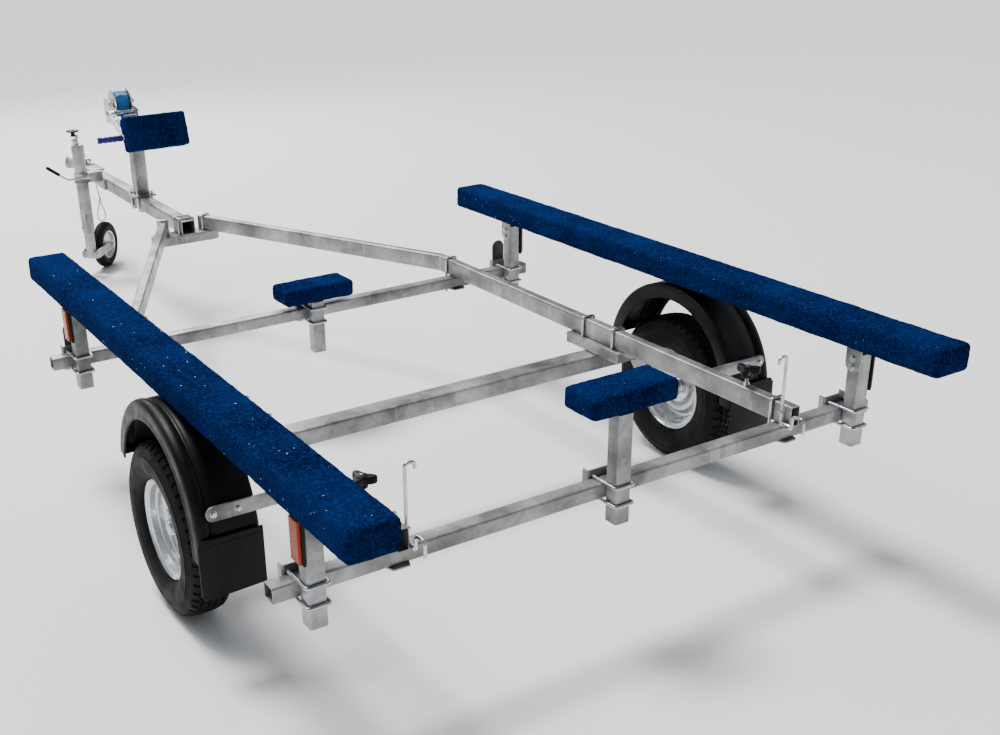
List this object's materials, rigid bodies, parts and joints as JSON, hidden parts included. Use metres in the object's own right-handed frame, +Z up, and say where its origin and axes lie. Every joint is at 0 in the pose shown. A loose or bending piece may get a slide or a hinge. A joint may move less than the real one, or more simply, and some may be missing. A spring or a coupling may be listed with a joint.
{
  "type": "boat trailer",
  "caption": "Galvanised boat trailer with two long carpeted bunks, keel pads, bow pad, hand winch, mudguards and a jockey wheel.",
  "frame": {"origin": "on the ground, under the middle of the overall length and width", "axes": "+Y forward towards the coupling, +X to the right, +Z up"},
  "size_m": [1.904, 4.936, 0.957],
  "materials": {
    "galvanised": "satin",
    "zinc": "satin",
    "carpet": "matte",
    "black_plastic": "matte",
    "amber": "gloss",
    "grey_plate": "matte",
    "tyre": "matte",
    "rim": "gloss",
    "strap": "matte",
    "grip": "gloss",
    "cable": "satin"
  },
  "bodies": {
    "frame": {"drawbar": "galvanised", "junction": "galvanised", "rails": "galvanised", "beam_front": "galvanised", "beam_rear": "galvanised", "rail_clamps": "zinc", "posts_front": "galvanised", "posts_rear": "galvanised", "post_clamps_front": "zinc", "post_clamps_rear": "zinc", "bunk_brackets": "galvanised", "bunk_left": "carpet", "bunk_right": "carpet", "keel_pads": "carpet", "reflector_bases": "black_plastic", "reflectors": "amber", "front_plates": "grey_plate", "axle_beam": "galvanised", "axle_saddles": "galvanised", "axle_arms": "galvanised", "guard_left": "black_plastic", "guard_right": "black_plastic", "guard_stays": "galvanised", "rail_knobs": "black_plastic", "knob_studs": "zinc", "light_rods": "zinc", "coupling_head": "galvanised", "coupling_handle": "zinc", "winch_post": "galvanised", "bow_pad": "carpet", "winch_frame": "zinc", "winch_strap": "strap", "jockey_clamp": "zinc", "clamp_lever": "zinc", "safety_cable": "cable"},
    "wheel_left": {"hub_left": "zinc", "rim_left": "rim", "tyre_left": "tyre"},
    "wheel_right": {"hub_right": "zinc", "rim_right": "rim", "tyre_right": "tyre"},
    "winch_drum": {"winch_drum": "zinc", "winch_reel": "strap"},
    "winch_crank": {"winch_crank": "zinc", "winch_grip": "grip"},
    "jockey_mast": {"jockey_tube": "galvanised", "jockey_crank": "zinc", "jockey_cap": "black_plastic"},
    "jockey_fork": {"jockey_stem": "galvanised"},
    "jockey_wheel": {"jockey_rim": "rim", "jockey_tyre": "tyre"}
  },
  "joints": [
    {"name": "wheel_left_spin", "type": "hinge", "parent": "frame", "child": "wheel_left", "pos_m": [-0.878, -1.426, 0.243], "axis": [-1, 0, 0], "continuous": true},
    {"name": "wheel_right_spin", "type": "hinge", "parent": "frame", "child": "wheel_right", "pos_m": [0.878, -1.426, 0.243], "axis": [-1, 0, 0], "continuous": true},
    {"name": "winch_drum_spin", "type": "hinge", "parent": "frame", "child": "winch_drum", "pos_m": [0, 1.469, 0.892], "axis": [1, 0, 0], "continuous": true},
    {"name": "winch_crank_turn", "type": "hinge", "parent": "frame", "child": "winch_crank", "pos_m": [0, 1.394, 0.864], "axis": [1, 0, 0], "continuous": true},
    {"name": "jockey_slide", "type": "slide", "parent": "frame", "child": "jockey_mast", "axis": [0, 0, 1], "range_m": [-0.1, 0.18]},
    {"name": "jockey_swivel", "type": "hinge", "parent": "jockey_mast", "child": "jockey_fork", "pos_m": [-0.13, 1.814, 0.092], "axis": [0, 0, 1], "continuous": true},
    {"name": "jockey_wheel_spin", "type": "hinge", "parent": "jockey_fork", "child": "jockey_wheel", "pos_m": [-0.01959, 1.93662, 0.116], "axis": [-0.7431, 0.6691, 0], "continuous": true}
  ],
  "couplings": [
    {"joint": "winch_crank_turn", "follows": "winch_drum_spin", "ratio": -4.6429}
  ]
}
